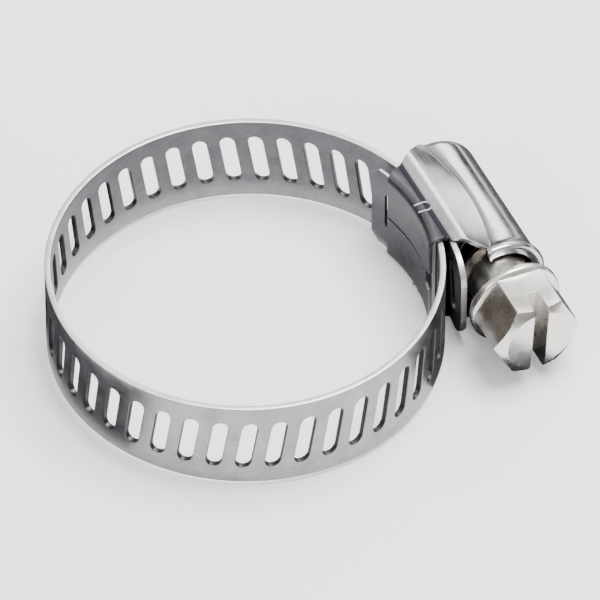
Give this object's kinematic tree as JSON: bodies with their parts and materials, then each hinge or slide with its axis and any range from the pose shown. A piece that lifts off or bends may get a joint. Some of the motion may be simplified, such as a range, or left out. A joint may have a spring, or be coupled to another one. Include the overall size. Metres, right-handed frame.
{
  "type": "hose clamp",
  "caption": "Worm-drive hose clamp: slotted steel band round a hose, folded housing with saddle and tongue, and a worm screw with a slotted hex head that draws the band tight.",
  "frame": {"origin": "centre of the bounding box's footprint, on the ground plane", "axes": "+Z along the hose axis, +X from the housing towards the screw's head, +Y from the hose out towards the screw"},
  "size_m": [0.039, 0.0476, 0.0111],
  "materials": {
    "housing_steel": "polished",
    "saddle_steel": "satin",
    "band_steel": "satin",
    "screw_plating": "satin"
  },
  "bodies": {
    "housing": {"housing": "housing_steel", "saddle": "saddle_steel", "band_fixed_end": "band_steel"},
    "screw": {"screw": "screw_plating"},
    "link_01": {"band_link_01": "band_steel"},
    "link_02": {"band_link_02": "band_steel"},
    "link_03": {"band_link_03": "band_steel"},
    "link_04": {"band_link_04": "band_steel"},
    "link_05": {"band_link_05": "band_steel"},
    "link_06": {"band_link_06": "band_steel"},
    "link_07": {"band_link_07": "band_steel"},
    "link_08": {"band_link_08": "band_steel"},
    "link_09": {"band_link_09": "band_steel"},
    "link_10": {"band_link_10": "band_steel"},
    "link_11": {"band_link_11": "band_steel"}
  },
  "joints": [
    {"name": "screw_turn", "type": "hinge", "parent": "housing", "child": "screw", "pos_m": [0.00828, 0.01905, 0.00555], "axis": [-1, 0, 0], "range_deg": [-180, 1440]},
    {"name": "band_bend_01", "type": "hinge", "parent": "housing", "child": "link_01", "pos_m": [0.0058, 0.01367, 0.00555], "axis": [0, 0, 1], "range_deg": [-3.71, 0.46]},
    {"name": "band_bend_02", "type": "hinge", "parent": "link_01", "child": "link_02", "pos_m": [0.01498, 0.00755, 0.00555], "axis": [0, 0, 1], "range_deg": [-3.23, 0.4]},
    {"name": "band_bend_03", "type": "hinge", "parent": "link_02", "child": "link_03", "pos_m": [0.01917, -0.00266, 0.00555], "axis": [0, 0, 1], "range_deg": [-3.23, 0.4]},
    {"name": "band_bend_04", "type": "hinge", "parent": "link_03", "child": "link_04", "pos_m": [0.01696, -0.01348, 0.00555], "axis": [0, 0, 1], "range_deg": [-3.23, 0.4]},
    {"name": "band_bend_05", "type": "hinge", "parent": "link_04", "child": "link_05", "pos_m": [0.00912, -0.02125, 0.00555], "axis": [0, 0, 1], "range_deg": [-3.23, 0.4]},
    {"name": "band_bend_06", "type": "hinge", "parent": "link_05", "child": "link_06", "pos_m": [-0.00171, -0.02342, 0.00555], "axis": [0, 0, 1], "range_deg": [-3.23, 0.4]},
    {"name": "band_bend_07", "type": "hinge", "parent": "link_06", "child": "link_07", "pos_m": [-0.01195, -0.01928, 0.00555], "axis": [0, 0, 1], "range_deg": [-3.23, 0.4]},
    {"name": "band_bend_08", "type": "hinge", "parent": "link_07", "child": "link_08", "pos_m": [-0.01826, -0.01021, 0.00555], "axis": [0, 0, 1], "range_deg": [-3.23, 0.4]},
    {"name": "band_bend_09", "type": "hinge", "parent": "link_08", "child": "link_09", "pos_m": [-0.01862, 0.00083, 0.00555], "axis": [0, 0, 1], "range_deg": [-3.23, 0.4]},
    {"name": "band_bend_10", "type": "hinge", "parent": "link_09", "child": "link_10", "pos_m": [-0.01295, 0.01031, 0.00555], "axis": [0, 0, 1], "range_deg": [-3.23, 0.4]},
    {"name": "band_bend_11", "type": "hinge", "parent": "link_10", "child": "link_11", "pos_m": [-0.00306, 0.01524, 0.00555], "axis": [0, 0, 1], "range_deg": [-3.23, 0.4]}
  ],
  "couplings": [
    {"joint": "band_bend_01", "follows": "screw_turn", "ratio": -0.002576},
    {"joint": "band_bend_02", "follows": "screw_turn", "ratio": -0.00224},
    {"joint": "band_bend_03", "follows": "screw_turn", "ratio": -0.00224},
    {"joint": "band_bend_04", "follows": "screw_turn", "ratio": -0.00224},
    {"joint": "band_bend_05", "follows": "screw_turn", "ratio": -0.00224},
    {"joint": "band_bend_06", "follows": "screw_turn", "ratio": -0.00224},
    {"joint": "band_bend_07", "follows": "screw_turn", "ratio": -0.00224},
    {"joint": "band_bend_08", "follows": "screw_turn", "ratio": -0.00224},
    {"joint": "band_bend_09", "follows": "screw_turn", "ratio": -0.00224},
    {"joint": "band_bend_10", "follows": "screw_turn", "ratio": -0.00224},
    {"joint": "band_bend_11", "follows": "screw_turn", "ratio": -0.00224}
  ]
}
